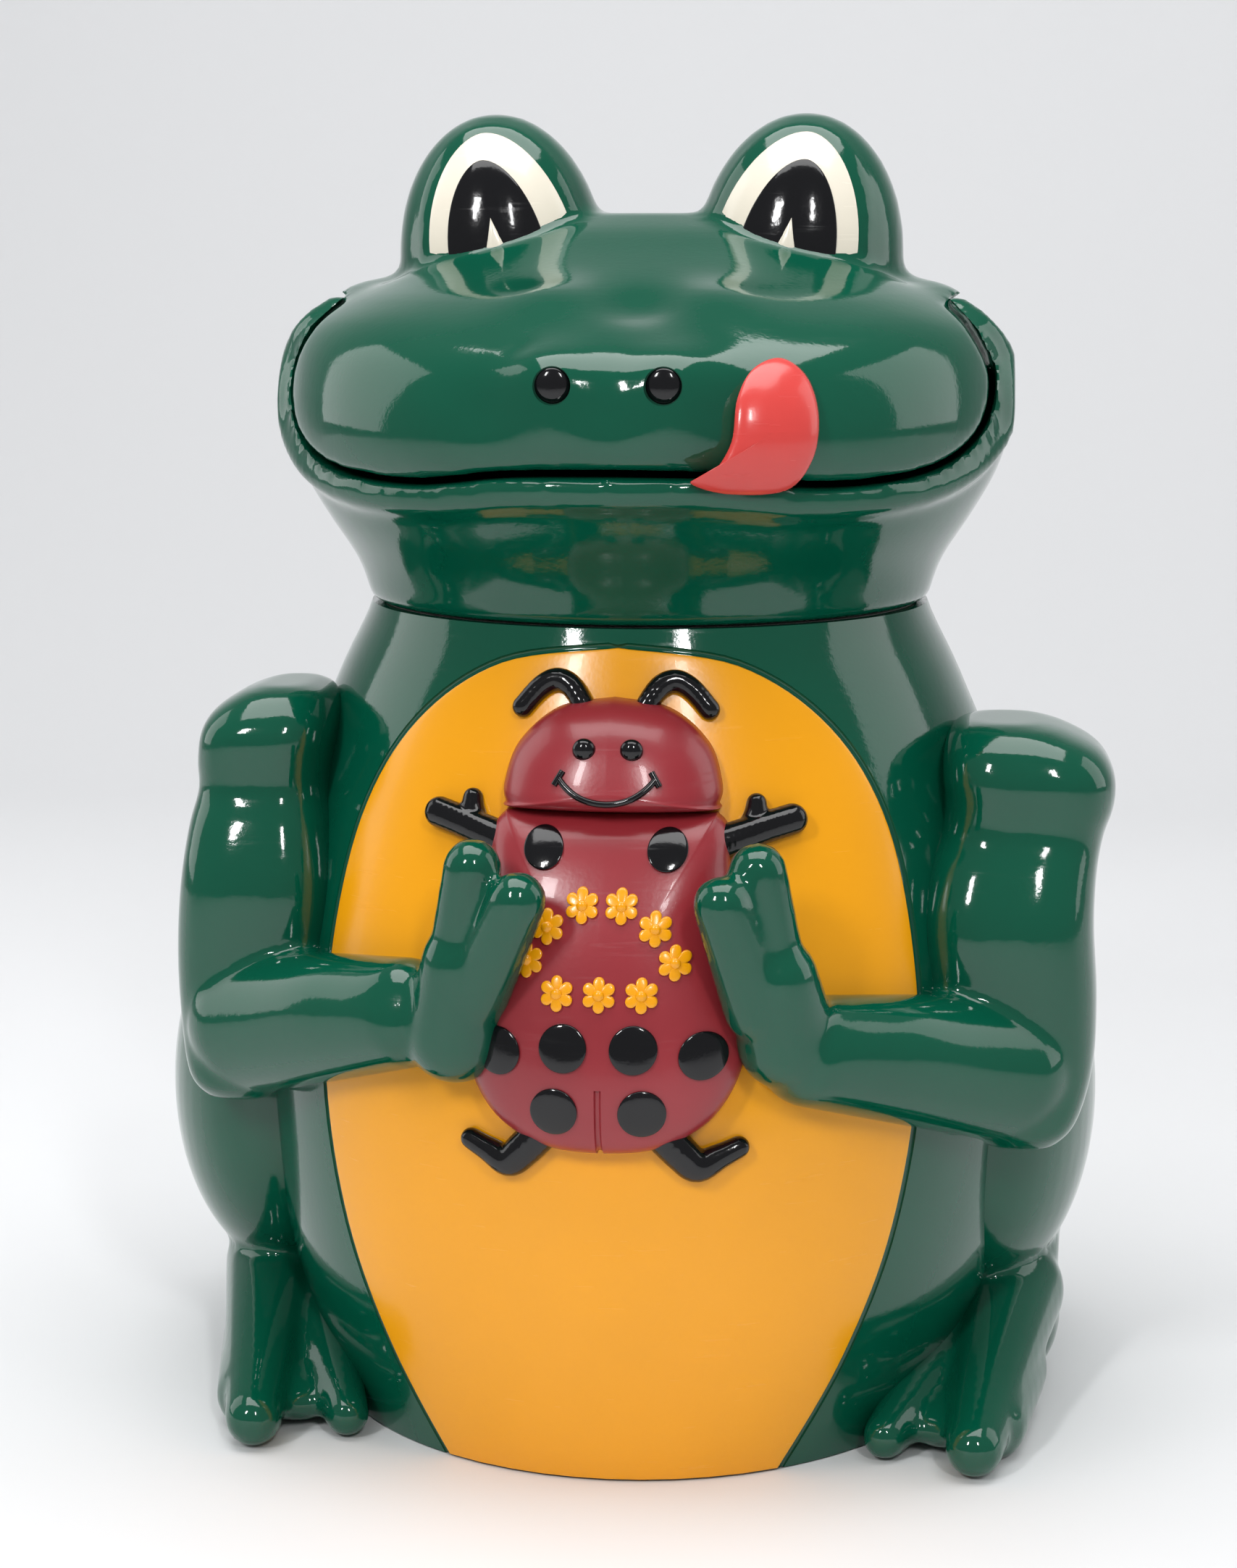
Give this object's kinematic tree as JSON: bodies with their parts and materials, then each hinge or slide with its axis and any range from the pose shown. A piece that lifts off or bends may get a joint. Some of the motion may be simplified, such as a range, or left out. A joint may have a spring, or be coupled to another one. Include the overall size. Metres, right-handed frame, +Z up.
{
  "type": "frog cookie jar",
  "caption": "Free-standing gloss plastic cookie jar shaped as a sitting frog that hugs a ladybug; the head is a lift-off lid with a light-triggered sound unit.",
  "frame": {"origin": "middle of the flat underside, on the surface it stands on, on the axis of the round neck", "axes": "+Z up, -Y the way the frog faces, +X to the right as seen from in front"},
  "size_m": [0.226, 0.2029, 0.3],
  "materials": {
    "green_plastic": "deep green moulded plastic, high gloss",
    "yellow_plastic": "yellow-orange moulded plastic, high gloss",
    "crimson_plastic": "dark crimson moulded plastic, semi gloss",
    "black_plastic": "black moulded plastic, gloss",
    "white_plastic": "cream white plastic, gloss",
    "tongue_pink": "coral pink moulded plastic, gloss",
    "tub_white": "natural white plastic, satin",
    "base_black": "black moulded plastic, fine texture",
    "gasket_rubber": "soft black rubber",
    "screw_steel": "zinc plated steel",
    "speaker_metal": "pressed metal basket",
    "board_laminate": "brown phenolic laminate",
    "clear_lens": "clear lens",
    "cell_jacket": "plain jacketed dry cells",
    "contact_metal": "nickel plated spring plate"
  },
  "bodies": {
    "jar": {"base_plate": "base_black", "base_screws": "screw_steel", "belly_plate": "yellow_plastic", "cookie_tub": "tub_white", "jar_shell_back": "green_plastic", "jar_shell_front": "green_plastic", "left_arm": "green_plastic", "right_arm": "green_plastic", "left_hind_leg": "green_plastic", "right_hind_leg": "green_plastic", "ladybug_body": "crimson_plastic", "ladybug_head": "crimson_plastic", "ladybug_spots": "black_plastic", "ladybug_daisies": "yellow_plastic", "ladybug_smile": "black_plastic", "ladybug_eyes": "black_plastic", "ladybug_antennae": "black_plastic", "ladybug_hands": "black_plastic", "ladybug_feet": "black_plastic"},
    "lid": {"jaw_shell": "green_plastic", "head_upper_shell": "green_plastic", "tongue": "tongue_pink", "left_eye_white": "white_plastic", "right_eye_white": "white_plastic", "left_pupil": "black_plastic", "right_pupil": "black_plastic", "left_glint": "white_plastic", "right_glint": "white_plastic", "left_nostril_plug": "black_plastic", "right_nostril_plug": "black_plastic", "lid_base": "tub_white", "lid_gasket": "gasket_rubber", "lid_screws": "screw_steel", "speaker": "speaker_metal", "speaker_ring": "base_black", "speaker_screws": "screw_steel", "circuit_board": "board_laminate", "board_screws": "screw_steel", "board_components": "black_plastic", "light_sensor": "black_plastic", "sensor_lens": "clear_lens", "battery_cells": "cell_jacket", "battery_contacts": "contact_metal", "door_hinge_pin": "screw_steel", "switch_body": "base_black"},
    "battery_door": {"battery_door": "tub_white"},
    "power_switch": {"power_switch": "base_black"}
  },
  "joints": [
    {"name": "lid_lift", "type": "slide", "parent": "jar", "child": "lid", "axis": [0, 0, 1], "range_m": [0, 0.15]},
    {"name": "battery_door_hinge", "type": "hinge", "parent": "lid", "child": "battery_door", "pos_m": [0, 0.0425, 0.1854], "axis": [1, 0, 0], "range_deg": [0, 80]},
    {"name": "power_switch_slide", "type": "slide", "parent": "lid", "child": "power_switch", "axis": [1, 0, 0], "range_m": [0, 0.004]}
  ]
}
